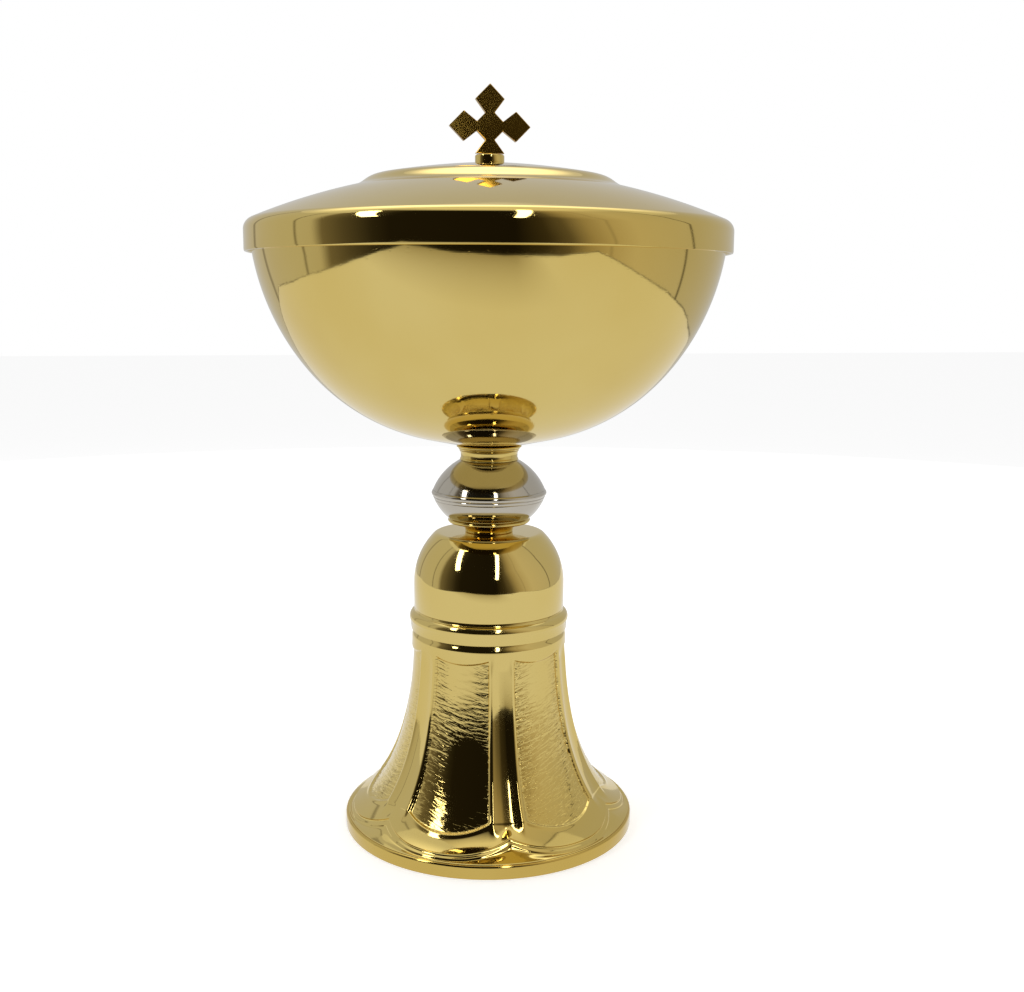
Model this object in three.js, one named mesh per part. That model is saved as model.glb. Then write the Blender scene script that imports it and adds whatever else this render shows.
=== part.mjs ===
// A ciborium: a wide cup with a domed lid, on a turned stem with a knop and a lobed bell foot.
// Millimetres, +Z up. The foot stands on Z = 0, and the cup's axis is the Z axis.
// The front is -Y: a rib of the foot and the flat of the cross face it.
// An angle round the axis is 0 at the front and grows towards +X.
import * as THREE from 'three';

// Clearances between pieces that touch
const seat = 0.3;
const slip = 0.35;

// Foot ring and bell
const footRadius = 45;
const footRingHeight = 4.2;
const footRingWidth = 4.2;
const footRingRound = 1;
const bellHeight = 57.7;
const bellTopRadius = 23.8;
const bellWall = 1.2;
const flareSlope = 30;
const flareReach = 24;
const lobeCount = 6;
const borderAtLobe = 1.5;
const borderAtRib = 5.1;
const lobeStep = 0.5;
const lobeStepRun = 0.5;
const ribHalfAngle = 8.5;
const panelDepth = 0.6;
const panelEdge = 0.9;
const panelBase = 5.5;
const panelBaseSag = 3;
const panelTopGap = 4.8;
const panelTopSag = 1.4;
const ribValley = 0.35;

// Bead ring and dome
const beadHeight = 6;
const beadRadius = 24.5;
const beadBandHeight = 1.6;
const beadWall = 3.4;
const spigotHeight = 3;
const spigotWall = 1.4;
const domeRadius = 23.1;
const domeWall = 1.2;
const domeStraight = 7.8;
const domeCurve = 21.3;
const domeCapCurve = 2.6;
const domeTurn = 44;

// Tie rod and its fasteners
const rodRadius = 3;
const seatPlateRadius = 10.5;
const seatPlateHeight = 2;
const washerRadius = 9;
const washerHeight = 1.5;
const lockWasherRadius = 5.8;
const lockWasherHeight = 1.5;
const lockWasherSplit = 14;
const nutFlats = 10;
const nutHeight = 5;
const rodTail = 3;

// Stem below the knop
const neckRadius = 7.3;
const neckHeight = 4;
const neckSpigotRadius = 5;
const flangeRadius = 12.6;
const flangeEdge = 1.1;
const flangeSlope = 8;
const coveRise = 1.6;
const coveReach = 3.3;

// Knop
const knopWall = 1;
const knopFootRadius = 12.7;
const knopLowerHeight = 6.4;
const knopLowerCurve = 15;
const knopSeamRadius = 17.1;
const knopRidge = 0.45;
const knopRidgeHeight = 1.7;
const knopSpigotHeight = 1;
const knopSpigotWall = 1.2;
const knopUpperHeight = 8.9;
const knopUpperCurve = 18;
const knopTopRadius = 8.75;
const spacerWall = 1.25;

// Stem above the knop
const waistRadius = 8.65;
const waistHeight = 3.3;
const waistBead = 0.25;
const waistBeadHeight = 0.5;
const waistFlare = 0.95;
const waistFlareHeight = 1.8;
const bossRadius = 6;
const bossCap = 1.3;
const saucerRadius = 9.9;
const saucerHeight = 0.5;
const saucerEdge = 0.3;

// Cup
const bowlCurve = 69.8;
const bowlFloorCurve = 60;
const bowlBlend = 50;
const bowlSeatRadius = 9.7;
const bowlSeatSlope = 12;
const bowlDepth = 62.71;
const bowlWall = 1.2;

// Lid
const lidWall = 1.2;
const lidSkirtDrop = 6.2;
const lidShoulder = 3.5;
const lidCurve = 176.7;
const lidStepRadius = 40.5;
const lidStepWidth = 7.5;
const lidStepRise = 3.5;
const platformSlope = 7.4;
const locatingDepth = 5;
const locatingWall = 1;

// Finial
const ferruleRadius = 4.3;
const ferruleHeight = 2.3;
const ferruleRound = 0.5;
const lidSeatMargin = 0.5;
const crossArm = 12;
const crossDiamond = 4.3;
const crossWaist = 1.35;
const crossThickness = 2;
const crossTenon = 1.2;
const studRadius = 2;
const studTail = 1.5;
const studWasherRadius = 4.4;
const studWasherHeight = 0.8;
const studNutFlats = 7;
const studNutHeight = 3.2;

// Facets round the axis
const largeSegments = 48;
const mediumSegments = 32;
const smallSegments = 16;

// Heights, from the table up
const bellBase = footRingHeight + seat;
const bellTop = bellBase + bellHeight;
const beadBase = bellTop + seat;
const beadTop = beadBase + beadHeight;
const domeBase = beadTop + seat;
const domeShoulder = domeBase + domeStraight;
const domeSine = Math.sin(THREE.MathUtils.degToRad(domeTurn));
const domeCosine = Math.cos(THREE.MathUtils.degToRad(domeTurn));
const domeTop = domeShoulder + domeCurve * domeSine + domeCapCurve * (1 - domeSine);
const neckBase = domeTop + seat;
const neckTop = neckBase + neckHeight;
const knopBase = neckTop + seat;
const knopLowerTop = knopBase + knopLowerHeight;
const ridgeBase = knopLowerTop + seat;
const ridgeTop = ridgeBase + knopRidgeHeight;
const knopUpperBase = ridgeTop + seat;
const knopTop = knopUpperBase + knopUpperHeight;
const waistBase = knopTop + seat;
const waistTop = waistBase + waistHeight;
const saucerBase = waistTop + seat;
const saucerTop = saucerBase + saucerHeight;
const bowlFloor = saucerTop + seat;
const rimHeight = bowlFloor + bowlDepth;

// Radii that follow from what goes through or into a piece
const rodBore = rodRadius + slip;
const bossBore = bossRadius + slip;
const spacerRadius = rodBore + spacerWall;
const studBore = studRadius + slip;

// Finishes
const goldPlate = new THREE.MeshStandardMaterial({ color: '#d4c085', roughness: 0.12, metalness: 1 });
const whiteMetal = new THREE.MeshStandardMaterial({ color: '#c3beb2', roughness: 0.18, metalness: 1 });
const steel = new THREE.MeshStandardMaterial({ color: '#8d8f92', roughness: 0.35, metalness: 1 });

// A point of a profile: distance from the axis, height
function at(radius, height) {
  return new THREE.Vector2(radius, height);
}

// An arc given by its centre, from one angle to another in degrees
function arcAbout(centre, radius, from, to, steps) {
  const curve = new THREE.ArcCurve(centre.x, centre.y, radius,
    THREE.MathUtils.degToRad(from), THREE.MathUtils.degToRad(to), from > to);
  return curve.getPoints(steps);
}

// An arc of a given radius between two points, swelling to the right of the way from start to end
function arcThrough(start, end, radius, steps) {
  const half = start.distanceTo(end) / 2;
  const bend = Math.max(radius, half);
  const along = end.clone().sub(start).normalize();
  const centre = start.clone().add(end).multiplyScalar(0.5);
  const depth = Math.sqrt(bend * bend - half * half);
  centre.add(at(-along.y, along.x).multiplyScalar(depth));
  const opening = Math.asin(half / bend);
  const middle = Math.atan2(-along.x, along.y);
  const points = [];
  for (let i = 0; i <= steps; i += 1) {
    const angle = middle + opening * (2 * i / steps - 1);
    points.push(at(centre.x + bend * Math.cos(angle), centre.y + bend * Math.sin(angle)));
  }
  return points;
}

// The line of a wall's inner face, square to its outer face
function inset(line, wall) {
  return line.map((point, i) => {
    const before = line[Math.max(i - 1, 0)];
    const after = line[Math.min(i + 1, line.length - 1)];
    const along = after.clone().sub(before).normalize();
    return at(point.x - along.y * wall, point.y + along.x * wall);
  });
}

// The closed profile of a sheet of even wall
function sheetProfile(outer, wall) {
  return [...outer, ...inset(outer, wall).reverse()];
}

// A piece turned about the axis, from a profile that goes up its outer side
function turned(name, profile, segments, material) {
  const points = [...profile];
  const onAxis = points[0].x === 0 && points[points.length - 1].x === 0;
  if (!onAxis) points.push(points[0].clone());
  const geometry = new THREE.LatheGeometry(points, segments);
  geometry.rotateX(Math.PI / 2);
  return named(name, geometry, material);
}

function named(name, geometry, material) {
  const mesh = new THREE.Mesh(geometry, material);
  mesh.name = name;
  return mesh;
}

// A round plate or tube with flat ends
function plate(name, outerRadius, innerRadius, bottom, height, segments, material) {
  const profile = [
    at(outerRadius, bottom),
    at(outerRadius, bottom + height),
    at(innerRadius, bottom + height),
    at(innerRadius, bottom),
  ];
  return turned(name, profile, segments, material);
}

// A hexagon nut with a plain bore
function hexNut(name, flats, bore, bottom, height) {
  const corner = flats / Math.sqrt(3);
  const outline = new THREE.Shape();
  for (let i = 0; i < 6; i += 1) {
    const angle = i * Math.PI / 3;
    const x = corner * Math.cos(angle);
    const y = corner * Math.sin(angle);
    if (i === 0) outline.moveTo(x, y);
    else outline.lineTo(x, y);
  }
  outline.closePath();
  const hole = new THREE.Path();
  hole.absarc(0, 0, bore, 0, 2 * Math.PI, true);
  outline.holes.push(hole);
  const geometry = new THREE.ExtrudeGeometry(outline, {
    depth: height, bevelEnabled: false, curveSegments: smallSegments / 2,
  });
  const nut = named(name, geometry, steel);
  nut.position.z = bottom;
  return nut;
}

// A threaded rod or stud, with chamfered ends
function rod(name, radius, bottom, top) {
  const chamfer = radius / 6;
  const profile = [
    at(0, bottom),
    at(radius - chamfer, bottom),
    at(radius, bottom + chamfer),
    at(radius, top - chamfer),
    at(radius - chamfer, top),
    at(0, top),
  ];
  return turned(name, profile, smallSegments, steel);
}

// The ring that the ciborium stands on
function footBaseRing() {
  const shoulder = at(footRadius - footRingRound, footRingHeight - footRingRound);
  const profile = [
    at(footRadius, 0),
    ...arcAbout(shoulder, footRingRound, 0, 90, 3),
    at(footRadius - footRingWidth, footRingHeight),
    at(footRadius - footRingWidth, 0),
  ];
  return turned('foot_base_ring', profile, largeSegments, goldPlate);
}

// The bell's outer line, from the foot ring up to its neck
const flareEdge = footRadius - footRingRound * 0.7;
const flareAngle = THREE.MathUtils.degToRad(flareSlope);
const bellLine = new THREE.CubicBezierCurve(
  at(flareEdge, bellBase),
  at(flareEdge - flareReach * Math.cos(flareAngle), bellBase + flareReach * Math.sin(flareAngle)),
  at(bellTopRadius, bellTop - bellHeight / 10),
  at(bellTopRadius, bellTop),
);

// A point of the bell's line at a height, moved square to the line
function bellPoint(height, offset) {
  let low = 0;
  let high = 1;
  for (let i = 0; i < 40; i += 1) {
    const middle = (low + high) / 2;
    if (bellLine.getPoint(middle).y < height) low = middle;
    else high = middle;
  }
  const point = bellLine.getPoint(low);
  const along = bellLine.getTangent(low);
  return at(point.x + along.y * offset, point.y - along.x * offset);
}

const lobeHalfAngle = 180 / lobeCount;
const panelHalfAngle = lobeHalfAngle - ribHalfAngle;
const bellInset = bellWall + panelDepth;

// The bell's section at an angle from a lobe's middle, up the outside and down the inside
function bellSection(angle) {
  const share = Math.abs(angle) / lobeHalfAngle;
  const panelShare = Math.min(Math.abs(angle) / panelHalfAngle, 1);
  const inPanel = Math.abs(angle) < panelHalfAngle + 0.01;
  const sunk = inPanel ? -panelDepth : 0;
  const plain = share === 1 ? -ribValley : 0;
  const border = bellBase + borderAtLobe + (borderAtRib - borderAtLobe) * share ** 2.5;
  const low = bellBase + panelBase + panelBaseSag * panelShare ** 2;
  const high = bellTop - panelTopGap + panelTopSag * (panelShare ** 2 - 1);
  const outer = [
    bellPoint(bellBase, 0),
    bellPoint(border - lobeStepRun, -lobeStep),
    bellPoint(border, plain),
    bellPoint(low - panelEdge, plain),
  ];
  for (const part of [0, 0.14, 0.3, 0.5, 0.75, 1]) {
    outer.push(bellPoint(low + (high - low) * part, inPanel ? sunk : plain));
  }
  outer.push(bellPoint(high + panelEdge, plain));
  outer.push(bellPoint(bellTop, 0));
  const inner = [at(bellTopRadius - bellInset, bellTop)];
  for (const part of [0.75, 0.5, 0.32, 0.2, 0.1, 0.04]) {
    inner.push(bellPoint(bellBase + bellHeight * part, -bellInset));
  }
  inner.push(at(flareEdge - bellWall / Math.sin(flareAngle), bellBase));
  return [...outer, ...inner];
}

// The lobed bell: a section for each angle, closed round the axis
function footBell() {
  const angles = [
    -lobeHalfAngle,
    -panelHalfAngle - panelEdge,
    -panelHalfAngle,
    -panelHalfAngle / 2,
    0,
    panelHalfAngle / 2,
    panelHalfAngle,
    panelHalfAngle + panelEdge,
  ];
  const positions = [];
  for (let lobe = 0; lobe < lobeCount; lobe += 1) {
    for (const angle of angles) {
      const turn = THREE.MathUtils.degToRad(lobeHalfAngle * (2 * lobe + 1) + angle);
      for (const point of bellSection(angle)) {
        positions.push(point.x * Math.sin(turn), -point.x * Math.cos(turn), point.y);
      }
    }
  }
  const columns = lobeCount * angles.length;
  const rows = positions.length / 3 / columns;
  const faces = [];
  for (let column = 0; column < columns; column += 1) {
    const here = column * rows;
    const next = ((column + 1) % columns) * rows;
    for (let row = 0; row < rows; row += 1) {
      const above = (row + 1) % rows;
      faces.push(here + row, next + row, next + above);
      faces.push(here + row, next + above, here + above);
    }
  }
  const geometry = new THREE.BufferGeometry();
  geometry.setAttribute('position', new THREE.Float32BufferAttribute(positions, 3));
  geometry.setIndex(faces);
  geometry.computeVertexNormals();
  return named('foot_bell', geometry, goldPlate);
}

// The bead ring, with a spigot into the bell and one into the dome
function footBeadRing() {
  const bandRadius = (bellTopRadius + beadRadius) / 2;
  const bellSpigot = bellTopRadius - bellInset - slip;
  const domeSpigot = domeRadius - domeWall - slip;
  const bore = Math.min(bellSpigot, domeSpigot) - spigotWall;
  const beadFoot = at(beadRadius - lobeStep, beadBase + beadBandHeight);
  const beadHead = at(domeRadius, beadTop);
  const profile = [
    at(bore, beadBase - spigotHeight),
    at(bellSpigot, beadBase - spigotHeight),
    at(bellSpigot, beadBase),
    at(bandRadius, beadBase),
    at(bandRadius, beadBase + beadBandHeight),
    ...arcThrough(beadFoot, beadHead, beadWall, 5),
    at(domeSpigot, beadTop),
    at(domeSpigot, beadTop + spigotHeight),
    at(bore, beadTop + spigotHeight),
  ];
  return turned('foot_bead_ring', profile, mediumSegments, goldPlate);
}

// The spun dome, with a hole for the neck's spigot
function footDome() {
  const side = at(domeRadius - domeCurve, domeShoulder);
  const cap = at(
    side.x + (domeCurve - domeCapCurve) * domeCosine,
    side.y + (domeCurve - domeCapCurve) * domeSine,
  );
  const outer = [
    at(domeRadius, domeBase),
    ...arcAbout(side, domeCurve, 0, domeTurn, 5),
    ...arcAbout(cap, domeCapCurve, domeTurn, 90, 3).slice(1),
    at(neckSpigotRadius + slip, domeTop),
  ];
  return turned('foot_dome', sheetProfile(outer, domeWall), mediumSegments, goldPlate);
}

// Plate, washers and nut that pull the stem down on the dome
function stemFasteners() {
  const plateBottom = domeTop - domeWall - seat - seatPlateHeight;
  const washerBottom = plateBottom - seat - washerHeight;
  const lockBottom = washerBottom - seat - lockWasherHeight;
  const nutBottom = lockBottom - seat - nutHeight;

  const split = THREE.MathUtils.degToRad(lockWasherSplit);
  const ring = new THREE.Shape();
  ring.absarc(0, 0, lockWasherRadius, split, 2 * Math.PI, false);
  ring.absarc(0, 0, rodBore, 2 * Math.PI, split, true);
  ring.closePath();
  const lockGeometry = new THREE.ExtrudeGeometry(ring, {
    depth: lockWasherHeight, bevelEnabled: false, curveSegments: smallSegments,
  });
  const lockWasher = named('stem_lock_washer', lockGeometry, steel);
  lockWasher.position.z = lockBottom;

  const rodTop = saucerTop - bossCap - seat;
  return [
    plate('dome_seat_plate', seatPlateRadius, rodBore, plateBottom, seatPlateHeight,
      mediumSegments, steel),
    plate('stem_washer', washerRadius, rodBore, washerBottom, washerHeight, smallSegments, steel),
    lockWasher,
    hexNut('stem_nut', nutFlats, rodBore, nutBottom, nutHeight),
    rod('tie_rod', rodRadius, nutBottom - rodTail, rodTop),
  ];
}

// The short neck that opens in a cove to its flange, and a spigot through the dome
function lowerNeck() {
  const slope = THREE.MathUtils.degToRad(flangeSlope);
  const flangeFoot = at(flangeRadius, neckTop - flangeEdge);
  const cove = new THREE.CubicBezierCurve(
    at(neckRadius, neckBase),
    at(neckRadius, neckBase + coveRise),
    at(flangeFoot.x - coveReach * Math.cos(slope), flangeFoot.y - coveReach * Math.sin(slope)),
    flangeFoot,
  );
  const profile = [
    at(rodBore, domeTop - domeWall),
    at(neckSpigotRadius, domeTop - domeWall),
    at(neckSpigotRadius, neckBase),
    ...cove.getPoints(5),
    at(flangeRadius, neckTop),
    at(rodBore, neckTop),
  ];
  return turned('lower_neck', profile, mediumSegments, goldPlate);
}

// Outer lines of the knop's two shells
const knopLowerLine = arcThrough(
  at(knopFootRadius, knopBase), at(knopSeamRadius, knopLowerTop), knopLowerCurve, 5,
);
const knopUpperLine = arcThrough(
  at(knopSeamRadius, knopUpperBase), at(knopTopRadius, knopTop), knopUpperCurve, 6,
);

// Inner line of a knop shell, cut level with its floor or roof and with the seam
function knopInner(line, floor, roof) {
  const seam = line.reduce((widest, point) => (point.x > widest.x ? point : widest));
  const between = inset(line, knopWall).filter((point) => point.y > floor && point.y < roof);
  return [...between, at(seam.x - knopWall, seam.y)].sort((a, b) => a.y - b.y);
}

const knopLowerInner = knopInner(knopLowerLine, knopBase + knopWall, knopLowerTop);
const knopUpperInner = knopInner(knopUpperLine, knopUpperBase, knopTop - knopWall);

// The knop's shells, each closed round the spacer tube that centres it
function knopShells() {
  const hole = spacerRadius + slip;
  const lower = [
    at(hole, knopBase),
    ...knopLowerLine,
    ...[...knopLowerInner].reverse(),
    at(knopFootRadius - knopWall, knopBase + knopWall),
    at(hole, knopBase + knopWall),
  ];
  const upper = [
    ...knopUpperLine,
    at(hole, knopTop),
    at(hole, knopTop - knopWall),
    at(knopTopRadius - knopWall / 2, knopTop - knopWall),
    ...[...knopUpperInner].reverse(),
  ];
  return [
    turned('knop_lower_shell', lower, mediumSegments, whiteMetal),
    turned('knop_upper_shell', upper, mediumSegments, whiteMetal),
  ];
}

// Inner radius of a knop shell at a height
function shellRadius(inner, height) {
  const above = inner.findIndex((point) => point.y >= height);
  const low = inner[above - 1];
  const high = inner[above];
  return low.x + (high.x - low.x) * (height - low.y) / (high.y - low.y);
}

// The ridge between the shells, with a short spigot into each
function knopSeamRing() {
  const spigotBottom = knopLowerTop - knopSpigotHeight;
  const spigotTop = knopUpperBase + knopSpigotHeight;
  const lowerSpigot = shellRadius(knopLowerInner, spigotBottom) - slip;
  const upperSpigot = shellRadius(knopUpperInner, spigotTop) - slip;
  const bore = Math.min(lowerSpigot, upperSpigot) - knopSpigotWall;
  const profile = [
    at(bore, spigotBottom),
    at(lowerSpigot, spigotBottom),
    at(lowerSpigot, ridgeBase),
    ...arcThrough(
      at(knopSeamRadius, ridgeBase), at(knopSeamRadius, ridgeTop),
      (knopRidge ** 2 + (knopRidgeHeight / 2) ** 2) / (2 * knopRidge), 4,
    ),
    at(upperSpigot, ridgeTop),
    at(upperSpigot, spigotTop),
    at(bore, spigotTop),
  ];
  return turned('knop_seam_ring', profile, mediumSegments, whiteMetal);
}

function knopSpacerTube() {
  return plate('knop_spacer_tube', spacerRadius, rodBore, knopBase, knopTop - knopBase,
    smallSegments, steel);
}

// The turned waist above the knop: a collar round the boss, with a bead at its foot
function upperNeck() {
  const beadHead = waistBase + waistBeadHeight;
  const flareFoot = waistTop - waistFlareHeight;
  const flare = [0, 0.35, 0.7, 1].map((part) => (
    at(waistRadius + waistFlare * part ** 2, flareFoot + waistFlareHeight * part)
  ));
  const profile = [
    at(bossBore, waistBase),
    at(waistRadius + waistBead, waistBase),
    at(waistRadius + waistBead, beadHead - waistBead),
    at(waistRadius, beadHead),
    ...flare,
    at(bossBore, waistTop),
  ];
  return turned('upper_neck', profile, mediumSegments, goldPlate);
}

// The thin saucer under the cup's flat seat
function bowlSaucer() {
  const profile = [
    at(bossBore, saucerBase),
    at(waistRadius + waistFlare, saucerBase),
    at(saucerRadius, saucerTop - saucerEdge),
    at(saucerRadius, saucerTop),
    at(bossBore, saucerTop),
  ];
  return turned('bowl_saucer', profile, mediumSegments, goldPlate);
}

// The boss under the cup, down through saucer and waist to the knop, bored for the rod
function bowlBoss() {
  const bottom = waistBase;
  const profile = [
    at(rodBore, bottom),
    at(bossRadius, bottom),
    at(bossRadius, saucerTop),
    at(0, saucerTop),
    at(0, saucerTop - bossCap),
    at(rodBore, saucerTop - bossCap),
  ];
  return turned('bowl_boss', [...profile.slice(4), ...profile.slice(0, 4)], smallSegments, goldPlate);
}

// The cup: a flat seat, a shallow cone, then a floor arc and a side arc that meet without a corner
const blendSine = Math.sin(THREE.MathUtils.degToRad(bowlBlend));
const blendCosine = Math.cos(THREE.MathUtils.degToRad(bowlBlend));
const seatAngle = THREE.MathUtils.degToRad(bowlSeatSlope);
const floorArcRadius = (bowlCurve - bowlFloorCurve) * blendSine;
const coneTopRadius = floorArcRadius + bowlFloorCurve * Math.sin(seatAngle);
const coneRise = (coneTopRadius - bowlSeatRadius) * Math.tan(seatAngle);
const floorArcHeight = bowlFloor + coneRise + bowlFloorCurve * Math.cos(seatAngle);
const bowlCentre = floorArcHeight + (bowlCurve - bowlFloorCurve) * blendCosine;
const rimRadius = Math.sqrt(bowlCurve ** 2 - (bowlCentre - rimHeight) ** 2);

function bowl() {
  const floor = at(floorArcRadius, floorArcHeight);
  const rimAngle = THREE.MathUtils.radToDeg(Math.asin((rimHeight - bowlCentre) / bowlCurve));
  const outer = [
    at(0, bowlFloor),
    at(bowlSeatRadius, bowlFloor),
    ...arcAbout(floor, bowlFloorCurve, bowlSeatSlope - 90, bowlBlend - 90, 4),
    ...arcAbout(at(0, bowlCentre), bowlCurve, bowlBlend - 90, rimAngle, 6).slice(1),
  ];
  return turned('bowl', sheetProfile(outer, bowlWall), largeSegments, goldPlate);
}

// The lid's rim hangs outside the cup's, and its shoulder rests on the cup's rim
const lidRadius = rimRadius + slip + lidWall;
const lidShoulderRadius = lidRadius - lidShoulder;
const lidCentre = rimHeight - Math.sqrt((lidCurve - lidShoulder) ** 2 - lidShoulderRadius ** 2);
const stepFoot = at(lidStepRadius, lidCentre + Math.sqrt(lidCurve ** 2 - lidStepRadius ** 2));
const stepHead = at(lidStepRadius - lidStepWidth, stepFoot.y + lidStepRise);
const lidSeatRadius = ferruleRadius + lidSeatMargin;
const platformAngle = THREE.MathUtils.degToRad(platformSlope);
const lidTop = stepHead.y + (stepHead.x - lidSeatRadius) * Math.tan(platformAngle);

function lidShell() {
  const shoulderAngle = THREE.MathUtils.radToDeg(
    Math.acos(lidShoulderRadius / (lidCurve - lidShoulder)),
  );
  const stepAngle = THREE.MathUtils.radToDeg(Math.acos(lidStepRadius / lidCurve));
  const slopeAngle = THREE.MathUtils.degToRad(90 - stepAngle);
  const reach = lidStepWidth / 2;
  const step = new THREE.CubicBezierCurve(
    stepFoot,
    at(stepFoot.x - reach * Math.cos(slopeAngle), stepFoot.y + reach * Math.sin(slopeAngle)),
    at(stepHead.x + reach * Math.cos(platformAngle), stepHead.y - reach * Math.sin(platformAngle)),
    stepHead,
  );
  const hem = rimHeight - lidSkirtDrop + lidWall / 2;
  const outer = [
    at(lidRadius, hem),
    ...arcAbout(at(lidShoulderRadius, rimHeight), lidShoulder, 0, shoulderAngle, 3),
    ...arcAbout(at(0, lidCentre), lidCurve, shoulderAngle, stepAngle, 3).slice(1),
    ...step.getPoints(4).slice(1),
    at(lidSeatRadius, lidTop),
    at(studBore, lidTop),
  ];
  const hemBottom = at(lidRadius - lidWall / 2, hem - lidWall / 2);
  return turned('lid_shell', [...sheetProfile(outer, lidWall), hemBottom], largeSegments, goldPlate);
}

// The ring under the lid that stands inside the cup's mouth
function lidLocatingRing() {
  const bottom = rimHeight - locatingDepth;
  const mouth = Math.sqrt((bowlCurve - bowlWall) ** 2 - (bowlCentre - bottom) ** 2);
  const outerRadius = mouth - slip;
  const innerRadius = outerRadius - locatingWall;
  const lidUnder = (radius) => lidCentre + Math.sqrt((lidCurve - lidWall) ** 2 - radius ** 2);
  const profile = [
    at(outerRadius, bottom),
    at(outerRadius, lidUnder(outerRadius) - seat),
    at(innerRadius, lidUnder(innerRadius) - seat),
    at(innerRadius, bottom),
  ];
  return turned('lid_locating_ring', profile, largeSegments, goldPlate);
}

// The finial: a ferrule on the lid, the cross in it, and the stud that holds both
function finial() {
  const ferruleBase = lidTop + seat;
  const ferruleTop = ferruleBase + ferruleHeight;
  const crossBase = ferruleTop + seat;
  const rounding = at(ferruleRadius - ferruleRound, ferruleTop - ferruleRound);
  const ferrule = turned('finial_ferrule', [
    at(studBore, ferruleBase),
    at(ferruleRadius, ferruleBase),
    ...arcAbout(rounding, ferruleRound, 0, 90, 2),
    at(studBore, ferruleTop),
  ], smallSegments, goldPlate);

  const washerBottom = lidTop - lidWall - seat - studWasherHeight;
  const nutBottom = washerBottom - seat - studNutHeight;
  return [
    ferrule,
    finialCross(crossBase),
    rod('finial_stud', studRadius, nutBottom - studTail, crossBase - crossTenon - seat),
    plate('finial_washer', studWasherRadius, studBore, washerBottom, studWasherHeight,
      smallSegments, steel),
    hexNut('finial_nut', studNutFlats, studBore, nutBottom, studNutHeight),
  ];
}

// A flat cross of joined diamonds, with half a diamond and a tenon below
function finialCross(base) {
  const corner = crossArm - crossDiamond;
  const notch = corner / 2;
  const halfTenon = Math.sqrt(studRadius ** 2 - (crossThickness / 2) ** 2);
  const half = [
    at(halfTenon, -corner - crossTenon),
    at(halfTenon, -corner),
    at(crossDiamond, -corner),
    at(crossWaist, -notch),
    at(notch, -crossWaist),
    at(corner, -crossDiamond),
    at(crossArm, 0),
    at(corner, crossDiamond),
    at(notch, crossWaist),
    at(crossWaist, notch),
    at(crossDiamond, corner),
  ];
  const otherHalf = half.map((point) => at(-point.x, point.y)).reverse();
  const outline = new THREE.Shape([...half, at(0, crossArm), ...otherHalf]);
  const geometry = new THREE.ExtrudeGeometry(outline, { depth: crossThickness, bevelEnabled: false });
  geometry.translate(0, 0, -crossThickness / 2);
  geometry.rotateX(Math.PI / 2);
  const cross = named('finial_cross', geometry, goldPlate);
  cross.position.z = base + corner;
  return cross;
}

const ciborium = new THREE.Group();
ciborium.add(
  footBaseRing(),
  footBell(),
  footBeadRing(),
  footDome(),
  ...stemFasteners(),
  lowerNeck(),
  ...knopShells(),
  knopSeamRing(),
  knopSpacerTube(),
  upperNeck(),
  bowlSaucer(),
  bowlBoss(),
  bowl(),
  lidLocatingRing(),
  lidShell(),
  ...finial(),
);

export default ciborium;
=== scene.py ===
import math
import random

import bpy
import numpy as np
from mathutils import Matrix, Vector


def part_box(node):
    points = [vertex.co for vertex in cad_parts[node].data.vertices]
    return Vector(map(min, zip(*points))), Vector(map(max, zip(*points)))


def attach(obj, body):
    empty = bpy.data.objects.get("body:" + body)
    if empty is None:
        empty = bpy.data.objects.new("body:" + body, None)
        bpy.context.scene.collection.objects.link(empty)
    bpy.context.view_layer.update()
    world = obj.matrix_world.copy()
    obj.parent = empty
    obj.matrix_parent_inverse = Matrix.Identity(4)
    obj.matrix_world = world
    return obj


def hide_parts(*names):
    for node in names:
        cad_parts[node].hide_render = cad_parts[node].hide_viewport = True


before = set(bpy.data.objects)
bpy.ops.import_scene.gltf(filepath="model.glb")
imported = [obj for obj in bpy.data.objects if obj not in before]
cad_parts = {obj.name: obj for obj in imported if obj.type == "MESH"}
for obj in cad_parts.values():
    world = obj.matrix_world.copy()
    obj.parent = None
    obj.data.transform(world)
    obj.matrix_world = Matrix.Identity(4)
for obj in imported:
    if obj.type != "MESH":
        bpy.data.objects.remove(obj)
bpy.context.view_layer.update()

# Foot ring
# The flat ring of gilt brass that the ciborium stands on. It is turned, its outer
# edge is rounded, and it is soldered under the bell.

MM = 0.001


def turned_size(node):
    """Outer radius, foot height and head height of a round CAD node, in mm."""
    low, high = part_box(node)
    return high.x / MM, low.z / MM, high.z / MM


def rounded(corners, steps=4):
    """An outline through corners (radius, height, rounding), each rounded by its own radius."""
    outline = []
    for i, (r, z, rounding) in enumerate(corners):
        corner = Vector((r, z))
        if rounding <= 0:
            outline.append((r, z))
            continue
        back = (Vector(corners[i - 1][:2]) - corner).normalized()
        on = (Vector(corners[(i + 1) % len(corners)][:2]) - corner).normalized()
        half = back.angle(on) / 2
        middle = corner + (back + on).normalized() * (rounding / math.sin(half))
        first = (corner + back * (rounding / math.tan(half)) - middle).normalized()
        last = (corner + on * (rounding / math.tan(half)) - middle).normalized()
        for k in range(steps + 1):
            point = middle + first.slerp(last, k / steps) * rounding
            outline.append((point.x, point.y))
    return outline


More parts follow.
